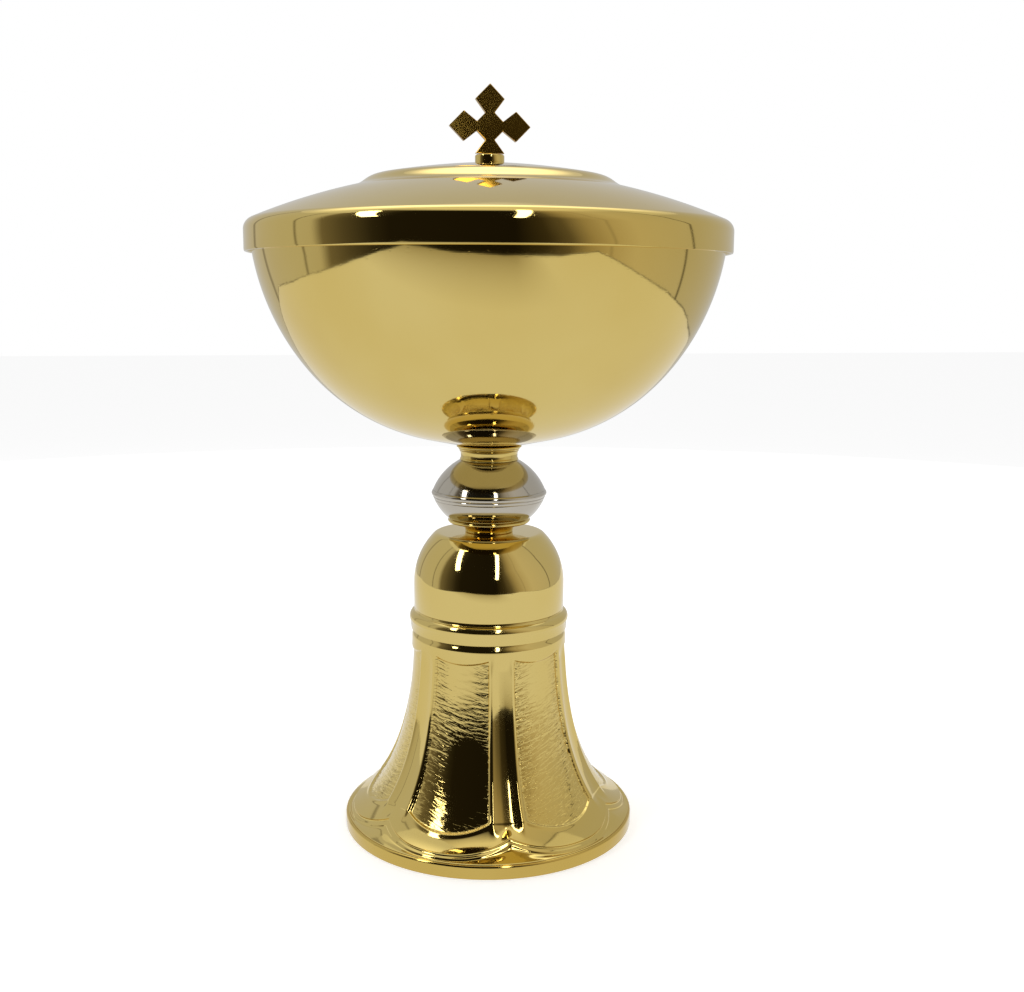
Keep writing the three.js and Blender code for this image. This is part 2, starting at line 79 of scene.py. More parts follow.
def drawn(name, outline, closed=True):
    """A line of edges through (radius, height) points in mm, standing in the XZ plane."""
    bpy.ops.object.select_all(action="DESELECT")
    bpy.ops.mesh.primitive_plane_add(size=MM)
    piece = bpy.context.object
    piece.name = name
    piece.data.name = name
    bpy.ops.object.mode_set(mode="EDIT")
    bpy.ops.mesh.select_all(action="SELECT")
    bpy.ops.mesh.merge(type="CENTER")
    points = [Vector((r, 0, z)) * MM for r, z in outline]
    if closed:
        points.append(points[0])
    bpy.ops.transform.translate(value=points[0])
    for here, there in zip(points, points[1:]):
        bpy.ops.mesh.extrude_region_move(TRANSFORM_OT_translate={"value": there - here})
    bpy.ops.mesh.select_all(action="SELECT")
    bpy.ops.mesh.remove_doubles(threshold=1e-6)
    bpy.ops.object.mode_set(mode="OBJECT")
    return piece


def closed_up(smooth):
    """Merges doubled points, turns the faces outwards, and smooths edges up to an angle."""
    bpy.ops.mesh.select_all(action="SELECT")
    bpy.ops.mesh.remove_doubles(threshold=1e-6)
    bpy.ops.mesh.normals_make_consistent(inside=False)
    bpy.ops.object.mode_set(mode="OBJECT")
    bpy.ops.object.shade_smooth_by_angle(angle=math.radians(smooth))


def turned(name, outline, closed=True, segments=192, smooth=35):
    """A piece spun about the Z axis from an outline of (radius, height) points in mm."""
    piece = drawn(name, outline, closed)
    bpy.ops.object.mode_set(mode="EDIT")
    bpy.ops.mesh.select_all(action="SELECT")
    bpy.ops.mesh.spin(steps=segments, angle=2 * math.pi, center=(0, 0, 0), axis=(0, 0, 1))
    closed_up(smooth)
    return piece


def put(tree, kind, inputs=None, **settings):
    """Adds a shader node. Each input is a value, or the output of another node to link from."""
    node = tree.nodes.new("ShaderNode" + kind)
    for key, value in settings.items():
        setattr(node, key, value)
    for key, value in (inputs or {}).items():
        if isinstance(value, bpy.types.NodeSocket):
            tree.links.new(value, node.inputs[key])
        else:
            node.inputs[key].default_value = value
    return node


def maths(tree, operation, *values):
    """A Math node's output."""
    return put(tree, "Math", dict(enumerate(values)), operation=operation).outputs[0]


def ranged(tree, value, low, high, to_low=0.0, to_high=1.0, **settings):
    """A value brought from one range to another, and held within it."""
    return put(tree, "MapRange", {"Value": value, "From Min": low, "From Max": high, "To Min": to_low,
                                  "To Max": to_high}, **settings).outputs[0]


def mixed(tree, share, first, second):
    """The mix of two colours."""
    return put(tree, "Mix", {0: share, 6: first, 7: second}, data_type="RGBA").outputs[2]


def own_place(tree):
    """The point on the piece, in its own coordinates."""
    return put(tree, "TexCoord").outputs["Object"]


def effect(name, ins, outs):
    """A node group with named sockets; a socket is (name, kind, value)."""
    tree = bpy.data.node_groups.new(name, "ShaderNodeTree")
    for label, kind, value in ins:
        socket = tree.interface.new_socket(label, in_out="INPUT", socket_type=kind)
        socket.default_value = value
    for label, kind in outs:
        tree.interface.new_socket(label, in_out="OUTPUT", socket_type=kind)
    return tree, tree.nodes.new("NodeGroupInput").outputs, tree.nodes.new("NodeGroupOutput").inputs


FLOAT, COLOUR = "NodeSocketFloat", "NodeSocketColor"


def spun_lines():
    """Height of the fine rings that turning and polishing leave, running round the axis."""
    tree, given, out = effect(
        "spun_lines", [("Pitch", FLOAT, 2500.0), ("Uneven", FLOAT, 0.25)], [("Height", FLOAT)])
    place = own_place(tree)
    axes = put(tree, "SeparateXYZ", {0: place}).outputs
    radius = maths(tree, "SQRT", maths(tree, "ADD", maths(tree, "MULTIPLY", axes[0], axes[0]),
                                       maths(tree, "MULTIPLY", axes[1], axes[1])))
    section = put(tree, "CombineXYZ", {0: radius, 1: axes[2]}).outputs[0]
    rings = put(tree, "TexNoise", {"Vector": section, "Scale": given["Pitch"], "Detail": 1.0},
                noise_dimensions="2D")
    patches = put(tree, "TexNoise", {"Vector": place, "Scale": 60.0})
    fade = maths(tree, "MULTIPLY", patches.outputs["Fac"], given["Uneven"])
    tree.links.new(maths(tree, "MULTIPLY", rings.outputs["Fac"], maths(tree, "ADD", fade, 0.75)), out[0])
    return tree


def polish_haze():
    """Roughness that wanders between two values in soft clouds."""
    tree, given, out = effect(
        "polish_haze", [("Low", FLOAT, 0.04), ("High", FLOAT, 0.09), ("Scale", FLOAT, 55.0)],
        [("Roughness", FLOAT)])
    place = own_place(tree)
    cloud = put(tree, "TexNoise", {"Vector": place, "Scale": given["Scale"], "Detail": 5.0,
                                   "Roughness": 0.62})
    level = ranged(tree, cloud.outputs["Fac"], 0.32, 0.72, given["Low"], given["High"])
    tree.links.new(level, out[0])
    return tree


def fine_scratches():
    """Height of hairline scratches, long and thin, lying in two directions."""
    tree, given, out = effect("fine_scratches", [("Scale", FLOAT, 900.0)], [("Height", FLOAT)])
    place = own_place(tree)
    lines = []
    for turn, stretch in ((0.6, 0.05), (2.1, 0.07)):
        lay = put(tree, "Mapping", {"Vector": place, "Rotation": (0.4, turn, turn),
                                    "Scale": (1.0, stretch, 1.0)})
        noise = put(tree, "TexNoise", {"Vector": lay.outputs[0], "Scale": given["Scale"],
                                       "Detail": 2.0, "Distortion": 0.3})
        lines.append(ranged(tree, noise.outputs["Fac"], 0.66, 0.74))
    tree.links.new(maths(tree, "MAXIMUM", *lines), out[0])
    return tree


def plate_tone():
    """Plate colour that drifts softly towards a second, deeper tone."""
    tree, given, out = effect(
        "plate_tone", [("Colour", COLOUR, (1, 1, 1, 1)), ("Deeper", COLOUR, (1, 1, 1, 1)),
                       ("Scale", FLOAT, 18.0)], [("Colour", COLOUR)])
    place = own_place(tree)
    drift = put(tree, "TexNoise", {"Vector": place, "Scale": given["Scale"], "Detail": 3.0})
    share = ranged(tree, drift.outputs["Fac"], 0.35, 0.7)
    tree.links.new(mixed(tree, share, given["Colour"], given["Deeper"]), out[0])
    return tree


EFFECTS = {"lines": spun_lines(), "haze": polish_haze(), "scratches": fine_scratches(),
           "tone": plate_tone()}


def linear(red, green, blue):
    """A colour given as 0 to 255 on screen, in the linear values that a shader takes."""
    shades = [c / 255 for c in (red, green, blue)]
    return tuple(c / 12.92 if c < 0.04045 else ((c + 0.055) / 1.055) ** 2.4 for c in shades) + (1,)


def metal(name, colour, deeper, haze, lines=0.0, scratches=0.0, pitch=2500.0):
    """A bare or plated metal: drifting tone, uneven polish, turning rings and hairlines."""
    mark_depth = 0.00001
    made = bpy.data.materials.new(name)
    made.use_nodes = True
    tree = made.node_tree
    shader = tree.nodes["Principled BSDF"]
    shader.inputs["Metallic"].default_value = 1.0
    tone = put(tree, "Group", node_tree=EFFECTS["tone"])
    tone.inputs["Colour"].default_value = colour
    tone.inputs["Deeper"].default_value = deeper
    tree.links.new(tone.outputs[0], shader.inputs["Base Color"])
    rough = put(tree, "Group", node_tree=EFFECTS["haze"])
    rough.inputs["Low"].default_value = haze[0]
    rough.inputs["High"].default_value = haze[1]
    tree.links.new(rough.outputs[0], shader.inputs["Roughness"])
    rings = put(tree, "Group", node_tree=EFFECTS["lines"])
    rings.inputs["Pitch"].default_value = pitch
    hairs = put(tree, "Group", node_tree=EFFECTS["scratches"])
    relief = maths(tree, "SUBTRACT", maths(tree, "MULTIPLY", rings.outputs[0], lines),
                   maths(tree, "MULTIPLY", hairs.outputs[0], scratches))
    bump = put(tree, "Bump", {"Height": relief, "Strength": 1.0, "Distance": mark_depth})
    tree.links.new(bump.outputs[0], shader.inputs["Normal"])
    return made


ring_width = 4.2
ring_radius, ring_foot, ring_head = turned_size("foot_base_ring")
ring_bore = ring_radius - ring_width
foot_ring = turned("foot_ring_turned", rounded([
    (ring_bore, ring_foot, 0.3), (ring_radius, ring_foot, 0.45), (ring_radius, ring_head, 0.8),
    (ring_radius - 0.95, ring_head, 0), (ring_bore, ring_head, 0.2)], 6), segments=256)
ring_gold = metal("ring_gold_plate", linear(209, 181, 99), linear(201, 170, 86), haze=(0.06, 0.13),
                  lines=0.30, scratches=0.2)
foot_ring.data.materials.append(ring_gold)
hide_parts("foot_base_ring")
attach(foot_ring, "base")

# Bell of the foot
# Pressed from brass sheet in six lobes between smooth ribs, chased by hand in a sunk
# panel on each lobe, then gilded. Its border rises in two scalloped steps and a terrace.

LOBES = 6
BELL_LINE = [(44.3, 4.5), (23.515, 16.5), (23.8, 56.43), (23.8, 62.2)]
line_foot, line_head = BELL_LINE[0][1], BELL_LINE[-1][1]
# The sheet's two ends, and the height where its top draws in to meet the bead ring
sheet_foot, sheet_head, turn_in = 4.22, 62.44, 59.8
sheet_wall, foot_wall = 1.8, 2.2
lobe_width = 360 / LOBES
half_lobe = lobe_width / 2
half_rib = 8.5
panel_step = 1.1
step_run = 0.3
border_sink, lower_rise, upper_rise = 0.55, 0.27, 0.28
terrace_gap, terrace_height, terrace_fall = 0.7, 0.34, 0.54
panel_sink, rim_rise, ridge_rise, valley_sink = 0.6, 0.22, 0.10, 0.35


def bell_line(steps=4000):
    """The bell's outer line as arrays: height, radius, and the outward normal's two parts."""
    t = np.linspace(0, 1, steps)[:, None]
    p = np.array(BELL_LINE)
    point = (1 - t) ** 3 * p[0] + 3 * (1 - t) ** 2 * t * p[1] + 3 * (1 - t) * t ** 2 * p[2] + t ** 3 * p[3]
    slope = 3 * ((1 - t) ** 2 * (p[1] - p[0]) + 2 * (1 - t) * t * (p[2] - p[1]) + t ** 2 * (p[3] - p[2]))
    slope /= np.linalg.norm(slope, axis=1)[:, None]
    return point[:, 1], point[:, 0], slope[:, 1], -slope[:, 0]


def smooth_step(low, high, value):
    """A soft step from 0 to 1 between low and high."""
    share = np.clip((value - low) / (high - low), 0, 1)
    return share * share * (3 - 2 * share)


def zone_rows(lines, counts):
    """Rows spread between successive zone lines, one column per angle."""
    rows = [lines[0]]
    for low, high, count in zip(lines, lines[1:], counts):
        for k in range(1, count + 1):
            rows.append(low + (high - low) * k / count)
    return np.array(rows)


def chased_strokes(across, along, panel):
    """Depth of one panel's chisel strokes, over its surface in mm across and up."""
    chance = random.Random(40 + panel)
    depth = np.zeros(across.shape)
    lean = -0.16 if panel % 2 else 0.20
    row_gap, strokes_in_row, half_width, deepest = 0.36, 9, 17, 0.10
    z, top_row = 9.5, 59.5
    while z < top_row:
        z += row_gap
        for _ in range(strokes_in_row):
            x = chance.uniform(-half_width, half_width)
            length = chance.uniform(1.2, 4.2)
            angle = lean + chance.gauss(0, 0.10)
            wave = chance.uniform(-0.16, 0.16)
            sink = chance.uniform(0.02, 0.055)
            width = chance.uniform(0.15, 0.22)
            rise = z + chance.uniform(-0.25, 0.25)
            near = (np.abs(across - x) < length + 0.5) & (np.abs(along - rise) < 2.2)
            u = (across[near] - x) * math.cos(angle) + (along[near] - rise) * math.sin(angle)
            v = (along[near] - rise) * math.cos(angle) - (across[near] - x) * math.sin(angle) \
                + wave * np.sin(u * 1.7 + x)
            ends = smooth_step(-length, -length * 0.6, u) * (1 - smooth_step(length * 0.6, length, u))
            depth[near] += sink * ends * np.exp(-(v / width) ** 2)
    return np.minimum(depth, deepest)


lobe_angles = np.concatenate([
    np.linspace(0, 5.9, 5)[:-1], np.linspace(5.9, half_rib, 5)[:-1],
    np.linspace(half_rib, half_rib + panel_step, 3)[:-1],
    np.linspace(half_rib + panel_step, half_lobe, 20)])
lobe_angles = np.concatenate([lobe_angles, lobe_width - lobe_angles[-2:0:-1]])
turns = np.concatenate([lobe_angles + lobe_width * lobe for lobe in range(LOBES)] + [[360.0]])
from_rib = np.abs((turns + half_lobe) % lobe_width - half_lobe)
from_lobe = half_lobe - from_rib
share = from_lobe / half_lobe
panel_share = np.clip(from_lobe / (half_lobe - half_rib), 0, 1)
step_low = 5.1 + 2.9 * share ** 2.5
step_high = 5.85 + 3.5 * share ** 2.5
panel_low = 10 + 3 * panel_share ** 2
panel_high = 57.4 + 1.4 * (panel_share ** 2 - 1)
panel_marks = [panel_low - 0.55, panel_low + 0.25, panel_high - 0.2, panel_high + 0.7]
even = np.ones_like(turns)
zone_lines = [sheet_foot * even, line_foot * even, step_low - step_run, step_low, step_high - step_run,
              step_high, panel_low - 2.0, *panel_marks, turn_in * even, sheet_head * even]
zone_counts = [2, 6, 3, 4, 3, 6, 6, 4, 158, 4, 5, 10]
outer_height = zone_rows(zone_lines, zone_counts)
line_height, line_radius, out_radius, out_height = bell_line()
profile_height = np.clip(outer_height, line_foot, line_head)
radius = np.interp(profile_height, line_height, line_radius)
normal_r = np.interp(profile_height, line_height, out_radius)
normal_z = np.interp(profile_height, line_height, out_height)
across_mm = np.radians(turns % lobe_width - half_lobe) * radius

# The border sinks to the foot ring, then rises by its two steps to the terrace
lift = np.zeros(outer_height.shape)
to_step = (outer_height - line_foot) / (step_low - step_run - line_foot)
lift -= border_sink * smooth_step(0, 1, to_step) * (outer_height < step_low)
lift = np.where(outer_height >= step_low - step_run,
                -border_sink + lower_rise * smooth_step(step_low - step_run, step_low, outer_height), lift)
lift = np.where(outer_height >= step_high - step_run,
                -upper_rise + upper_rise * smooth_step(step_high - step_run, step_high, outer_height), lift)
terrace_head = panel_low - terrace_gap
terrace = np.clip((outer_height - step_high) / (terrace_head - step_high), 0, 1)
lift += (terrace_height - terrace_fall * terrace) * (outer_height >= step_high) \
    * (1 - smooth_step(terrace_head, panel_low - 0.2, outer_height))

# Panels, their rims, the ridge at their foot, and the shallow valley down each rib
in_panel = (smooth_step(half_rib, half_rib + panel_step, from_rib)
            * smooth_step(panel_marks[0], panel_marks[1], outer_height)
            * (1 - smooth_step(panel_marks[2], panel_marks[3], outer_height)))
rim = np.exp(-((from_rib - 7.2) / 1.0) ** 2) * smooth_step(panel_low - 4, panel_low, outer_height) \
    * (1 - smooth_step(panel_high - 5, panel_high + 1.2, outer_height))
ridge = np.exp(-((outer_height - terrace_head) / 0.35) ** 2) * smooth_step(5.5, 8.5, from_rib)
valley = (1 - smooth_step(1.5, 6.2, from_rib)) * smooth_step(step_high, step_high + 3, outer_height) \
    * (1 - smooth_step(panel_high - 3, panel_high + 2.5, outer_height))
lift += -panel_sink * in_panel + rim_rise * rim + ridge_rise * ridge - valley_sink * valley

# Strokes, with a quiet patch high in each panel and a second, low one in every other
strokes = np.zeros(outer_height.shape)
grained = np.zeros(outer_height.shape)
for lobe in range(LOBES):
    here = (turns >= lobe_width * lobe) & (turns < lobe_width * (lobe + 1))
    across, up = across_mm[:, here], outer_height[:, here]
    quiet = smooth_step(9, 3, np.hypot(across, (up - 50) * 0.6))
    if lobe % 2:
        quiet = np.maximum(quiet, smooth_step(8.5, 5.0, np.hypot(across - 3.5, (up - 25) * 0.6)))
    strokes[:, here] = chased_strokes(across, up, lobe) * (1 - 0.75 * quiet)
    grained[:, here] = (0.4 if lobe % 2 else 1.0) * (1 - 0.9 * quiet)
lift -= strokes * smooth_step(0.6, 1.0, in_panel)
lift -= 0.65 * smooth_step(turn_in, line_head, outer_height) ** 1.6
outer_r = radius + normal_r * lift
outer_z = np.where(outer_height > line_head, outer_height, outer_height + normal_z * lift)

# The sheet's inner face, and the grid of points that carries both faces
inner_rows = 14
inner_height = np.linspace(sheet_head, sheet_foot, inner_rows)[:, None] * even
inner_clip = np.clip(inner_height, line_foot, line_head)
inner_wall = np.where(inner_clip < 5.0, foot_wall, sheet_wall)
inner_r = np.interp(inner_clip, line_height, line_radius) \
    - inner_wall * np.interp(inner_clip, line_height, out_radius)
inner_z = np.clip(inner_height - sheet_wall * np.interp(inner_clip, line_height, out_height),
                  sheet_foot, sheet_head)
inner_r[-1] = BELL_LINE[0][0] - 2.4
inner_z[-1] = sheet_foot
inner_z[0] = sheet_head
all_r = np.concatenate([outer_r, inner_r, outer_r[:1]])
all_z = np.concatenate([outer_z, inner_z, outer_z[:1]])
grained *= in_panel
marks = np.concatenate([grained, np.zeros(inner_r.shape), grained[:1]])

bpy.ops.object.select_all(action="DESELECT")
bpy.ops.mesh.primitive_grid_add(x_subdivisions=len(turns) - 1, y_subdivisions=len(all_r) - 1, size=2)
bell = bpy.context.object
bell.name = "bell_chased"
bell.data.name = "bell_chased"
grid = np.empty(len(bell.data.vertices) * 3)
bell.data.vertices.foreach_get("co", grid)
grid = grid.reshape(-1, 3)
column = np.rint((grid[:, 0] + 1) / 2 * (len(turns) - 1)).astype(int)
row = np.rint((grid[:, 1] + 1) / 2 * (len(all_r) - 1)).astype(int)
angle = np.radians(turns[column])
grid[:, 0] = all_r[row, column] * np.sin(angle) * MM
grid[:, 1] = -all_r[row, column] * np.cos(angle) * MM
grid[:, 2] = all_z[row, column] * MM
bell.data.vertices.foreach_set("co", grid.ravel())
chasing = bell.data.attributes.new("chasing", "FLOAT", "POINT")
chasing.data.foreach_set("value", marks[row, column].astype(np.float32))
bpy.ops.object.mode_set(mode="EDIT")
closed_up(50)


def chased_grain():
    """Height of the finest chisel marks, short lines that run nearly level round the bell."""
    tree, given, out = effect("chased_grain", [("Amount", FLOAT, 1.0)], [("Height", FLOAT)])
    place = own_place(tree)
    axes = put(tree, "SeparateXYZ", {0: place}).outputs
    angle = maths(tree, "ARCTAN2", axes[0], maths(tree, "MULTIPLY", axes[1], -1.0))
    sway = maths(tree, "MULTIPLY", maths(tree, "COSINE", maths(tree, "MULTIPLY", angle, 3.0)), 0.0028)
    flow = put(tree, "CombineXYZ", {0: maths(tree, "MULTIPLY", angle, 0.0042),
                                    1: maths(tree, "ADD", axes[2], sway)}).outputs[0]
    marks = put(tree, "TexNoise", {"Vector": flow, "Scale": 1500.0, "Detail": 2.0, "Roughness": 0.6,
                                   "Distortion": 0.25}, noise_dimensions="2D")
    cut = ranged(tree, marks.outputs["Fac"], 0.44, 0.60)
    tree.links.new(maths(tree, "MULTIPLY", cut, given["Amount"]), out[0])
    return tree


GOLD = linear(219, 196, 122)
DEEP_GOLD = linear(212, 186, 106)
grain_depth = 0.00006
chased_gold = metal("chased_gold_plate", GOLD, DEEP_GOLD, haze=(0.04, 0.09), lines=0.05, scratches=0.2)
tree = chased_gold.node_tree
grain = put(tree, "Group", node_tree=chased_grain())
tree.links.new(put(tree, "Attribute", attribute_name="chasing").outputs["Fac"], grain.inputs[0])
chisel = put(tree, "Bump", {"Height": grain.outputs[0], "Strength": 1.0, "Distance": grain_depth})
tree.links.new(chisel.outputs[0], tree.nodes["Bump"].inputs["Normal"])
bell.data.materials.append(chased_gold)
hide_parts("foot_bell")
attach(bell, "base")

# Bead ring
# A turned ring between bell and dome: a plain band below, a heavy bead above, and a
# spigot inside each way that centres the two sheet parts.


def arc(centre, radius, start, end, steps):
    """Points of an arc, its angles in degrees from the outward direction."""
    points = []
    for i in range(steps + 1):
        angle = math.radians(start + (end - start) * i / steps)
        points.append((centre[0] + radius * math.cos(angle), centre[1] + radius * math.sin(angle)))
    return points


spigot_bore, spigot_radius, spigot_foot, spigot_head = 20.15, 21.65, 59.5, 71.5
band_foot, shoulder = 62.25, 68.62
bead_centre, bead_curve = (22.4, 65.9), 2.1
bead_ring = turned("bead_ring_turned", [
    (spigot_bore, spigot_foot), (spigot_radius, spigot_foot), (spigot_radius, band_foot)]
    + rounded([(22.0, band_foot, 0), (24.02, band_foot, 0.2), (24.2, 64.9, 0)])[1:]
    + arc(bead_centre, bead_curve, -22, 66, 18)
    + [(23.12, 67.9), (23.0, 68.1), (22.95, shoulder), (spigot_radius - 0.1, shoulder),
       (spigot_radius - 0.1, spigot_head), (spigot_bore, spigot_head)])
turned_gold = metal("turned_gold_plate", GOLD, DEEP_GOLD, haze=(0.06, 0.12), lines=0.30, scratches=0.15)
bead_ring.data.materials.append(turned_gold)
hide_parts("foot_bead_ring")
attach(bead_ring, "base")

# Dome of the foot
# Spun from sheet and polished, with a straight side, a rounded shoulder and a flat top
# that the stem stands on. The tie rod's plate pulls against its underside.

dome_radius, dome_foot, dome_head = turned_size("foot_dome")
side_curve, cap_curve, dome_turn, dome_wall = 21.3, 2.6, 44, 1.2
straight_side, stem_hole = 7.8, 5.35
side_centre = (dome_radius - side_curve, dome_foot + straight_side)
cap_centre = (side_centre[0] + (side_curve - cap_curve) * math.cos(math.radians(dome_turn)),
              side_centre[1] + (side_curve - cap_curve) * math.sin(math.radians(dome_turn)))
dome = turned("dome_spun", [(dome_radius - 0.12, dome_foot - 0.12), (dome_radius, dome_foot + 0.1)]
              + arc(side_centre, side_curve, 0, dome_turn, 20)
              + arc(cap_centre, cap_curve, dome_turn, 90, 10)[1:]
              + [(stem_hole + 0.15, dome_head), (stem_hole, dome_head - 0.15),
                 (stem_hole, dome_head - dome_wall)]
              + arc(cap_centre, cap_curve - dome_wall, 90, dome_turn, 8)
              + arc(side_centre, side_curve - dome_wall, dome_turn, 0, 12)[1:]
              + [(dome_radius - dome_wall, dome_foot - 0.12)], segments=256)
polished_gold = metal("polished_gold_plate", GOLD, DEEP_GOLD, haze=(0.035, 0.075), lines=0.10,
                      scratches=0.20)
dome.data.materials.append(polished_gold)
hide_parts("foot_dome")
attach(dome, "base")

# Tie rod and its fasteners
# One steel rod runs from the boss under the cup to a nut inside the dome. The plate,
# washer, split lock washer and nut draw the whole stem down on the dome.


def ring_section(bore, radius, foot, head, *rounding, steps=4):
    """A flat ring's outline, its four corners rounded from the bore's foot round to its head."""
    corners = [(bore, foot), (radius, foot), (radius, head), (bore, head)]
    return rounded([corner + (r,) for corner, r in zip(corners, rounding)], steps)


def heights(node):
    """Foot and head height of a CAD node, in mm."""
    return turned_size(node)[1:]


rod_hole = 3.35
zinc_steel = metal("zinc_steel", linear(150, 152, 156), linear(128, 128, 128), haze=(0.28, 0.42),
                   lines=0.5, scratches=0.6, pitch=1600.0)
seat_plate = turned("seat_plate_turned", ring_section(
    rod_hole, *turned_size("dome_seat_plate"), 0.15, 0.35, 0.35, 0.15), segments=96)
seat_plate.data.materials.append(zinc_steel)
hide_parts("dome_seat_plate")
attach(seat_plate, "base")

stem_washer = turned("stem_washer_punched", ring_section(
    rod_hole, *turned_size("stem_washer"), 0.1, 0.12, 0.35, 0.25), segments=96)
stem_washer.data.materials.append(zinc_steel)
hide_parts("stem_washer")
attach(stem_washer, "base")

split_degrees = 14
lock_washer = drawn("stem_lock_washer_split", ring_section(
    rod_hole, *turned_size("stem_lock_washer"), 0.1, 0.1, 0.1, 0.1, steps=2))
bpy.ops.object.mode_set(mode="EDIT")
bpy.ops.mesh.select_all(action="SELECT")
bpy.ops.mesh.edge_face_add()
bpy.ops.mesh.spin(steps=72, angle=math.radians(360 - split_degrees), center=(0, 0, 0), axis=(0, 0, 1))
bpy.ops.mesh.select_all(action="SELECT")
bpy.ops.mesh.normals_make_consistent(inside=False)
bpy.ops.object.mode_set(mode="OBJECT")
bpy.ops.object.shade_smooth_by_angle(angle=math.radians(35))
lock_washer.data.materials.append(zinc_steel)
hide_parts("stem_lock_washer")
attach(lock_washer, "base")


def hex_nut(name, foot, head, flats, bore):
    """A nut: a chamfered turned blank cut to six sides."""
    corner = flats / math.sqrt(3)
    bevel = (corner - flats / 2) * 0.62
    face = flats / 2 * 0.96
    sink = 0.35
    nut = turned(name, [(bore, foot + sink), (bore + sink, foot), (face, foot),
                        (corner + 0.01, foot + bevel), (corner + 0.01, head - bevel),
                        (face, head), (bore + sink, head), (bore, head - sink)],
                 segments=72, smooth=25)
    bpy.ops.object.select_all(action="DESELECT")
    bpy.ops.mesh.primitive_cylinder_add(vertices=6, radius=corner * MM, depth=2 * (head - foot) * MM,
                                        location=(0, 0, (foot + head) / 2 * MM),
                                        rotation=(0, 0, math.radians(30)))
    sides = bpy.context.object
    bpy.ops.object.transform_apply(location=True, rotation=True, scale=True)
    cut = nut.modifiers.new("sides", "BOOLEAN")
    cut.operation = "INTERSECT"
    cut.object = sides
    cut.solver = "EXACT"
    bpy.context.view_layer.objects.active = nut
    bpy.ops.object.modifier_apply(modifier=cut.name)
    bpy.data.objects.remove(sides)
    bpy.ops.object.select_all(action="DESELECT")
    nut.select_set(True)
    bpy.context.view_layer.objects.active = nut
    bpy.ops.object.shade_smooth_by_angle(angle=math.radians(25))
    return nut


stem_nut = hex_nut("stem_nut_hexagon", *heights("stem_nut"), flats=10, bore=3.05)
stem_nut.data.materials.append(zinc_steel)
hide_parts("stem_nut")
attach(stem_nut, "base")


def threaded_rod(name, foot, head, radius, pitch):
    """A rod with a screw thread all along and a chamfered core at its two ends."""
    root = radius - 0.54 * pitch
    turns_up = int((head - foot) / pitch) - 1
    tread = drawn(name, [(root, foot), (radius - 0.02, foot + pitch * 0.44),
                         (radius - 0.02, foot + pitch * 0.56), (root, foot + pitch)], closed=False)
    thread = tread.modifiers.new("thread", "SCREW")
    thread.angle = 2 * math.pi
    thread.screw_offset = pitch * MM
    thread.iterations = turns_up
    thread.steps = 40
    thread.render_steps = 40
    thread.use_merge_vertices = True
    thread.merge_threshold = 1e-6
    bpy.context.view_layer.objects.active = tread
    bpy.ops.object.modifier_apply(modifier=thread.name)
    core = turned(name + "_core", [(0, foot), (root - 0.1, foot), (root + 0.02, foot + 0.3),
                                   (root + 0.02, head - 0.3), (root - 0.1, head), (0, head)],
                  closed=False, segments=40)
    bpy.ops.object.select_all(action="DESELECT")
    core.select_set(True)
    tread.select_set(True)
    bpy.context.view_layer.objects.active = tread
    bpy.ops.object.join()
    tread.name = name
    bpy.ops.object.shade_smooth_by_angle(angle=math.radians(25))
    return tread


tie_rod = threaded_rod("tie_rod_threaded", *heights("tie_rod"), radius=3.0, pitch=1.0)
tie_rod.data.materials.append(zinc_steel)
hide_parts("tie_rod")
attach(tie_rod, "base")

# Lower neck
# Turned from brass: a short stem that stands on the dome with a spigot in its hole,
# and opens in a cove to the round-edged flange that carries the knop.


def bezier(a, b, c, d, steps):
    """Points of a cubic curve through its first and last point."""
    points = []
    for i in range(steps + 1):
        t = i / steps
        weights = ((1 - t) ** 3, 3 * (1 - t) ** 2 * t, 3 * (1 - t) * t * t, t ** 3)
        points.append(tuple(sum(w * p[k] for w, p in zip(weights, (a, b, c, d))) for k in (0, 1)))
    return points


neck_radius, neck_spigot, flange_round, knop_seat = 7.3, 5.0, 0.55, 0.28
flange_radius, spigot_foot, neck_head = turned_size("lower_neck")
neck_foot = dome_head + 0.02
neck = turned("lower_neck_turned", [
    (rod_hole, spigot_foot), (neck_spigot - 0.15, spigot_foot), (neck_spigot, spigot_foot + 0.15),
    (neck_spigot, neck_foot), (neck_radius - 0.2, neck_foot), (neck_radius, neck_foot + 0.2)]
    + bezier((neck_radius, neck_foot + 0.35), (neck_radius, neck_foot + 1.9), (9.2, neck_head - 1.6),
             (12.2, neck_head - 1.2), 16)
    + arc((flange_radius - flange_round, neck_head - 0.62), flange_round, -60, 60, 8)
    + [(flange_radius - 0.6, neck_head + 0.1), (flange_radius - 0.6, neck_head + knop_seat),
       (rod_hole, neck_head + knop_seat)], segments=256)
neck.data.materials.append(turned_gold)
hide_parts("lower_neck")
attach(neck, "base")

# Knop
# Two shells of polished white metal meet at a ridge, where they are soldered to a
# turned ring. A steel tube inside keeps the rod from crushing them.


def swell(start, end, radius, steps):
    """Points of an arc between two points, swelling to the right of the way from start to end."""
    start, end = Vector(start), Vector(end)
    half = (end - start).length / 2
    along = (end - start).normalized()
    side = Vector((-along.y, along.x))
    centre = (start + end) / 2 + side * math.sqrt(max(radius ** 2 - half ** 2, 0))
    opening = math.asin(min(half / radius, 1))
    middle = math.atan2(-along.x, along.y)
    turn = [middle + opening * (2 * i / steps - 1) for i in range(steps + 1)]
    return [(centre.x + radius * math.cos(a), centre.y + radius * math.sin(a)) for a in turn]


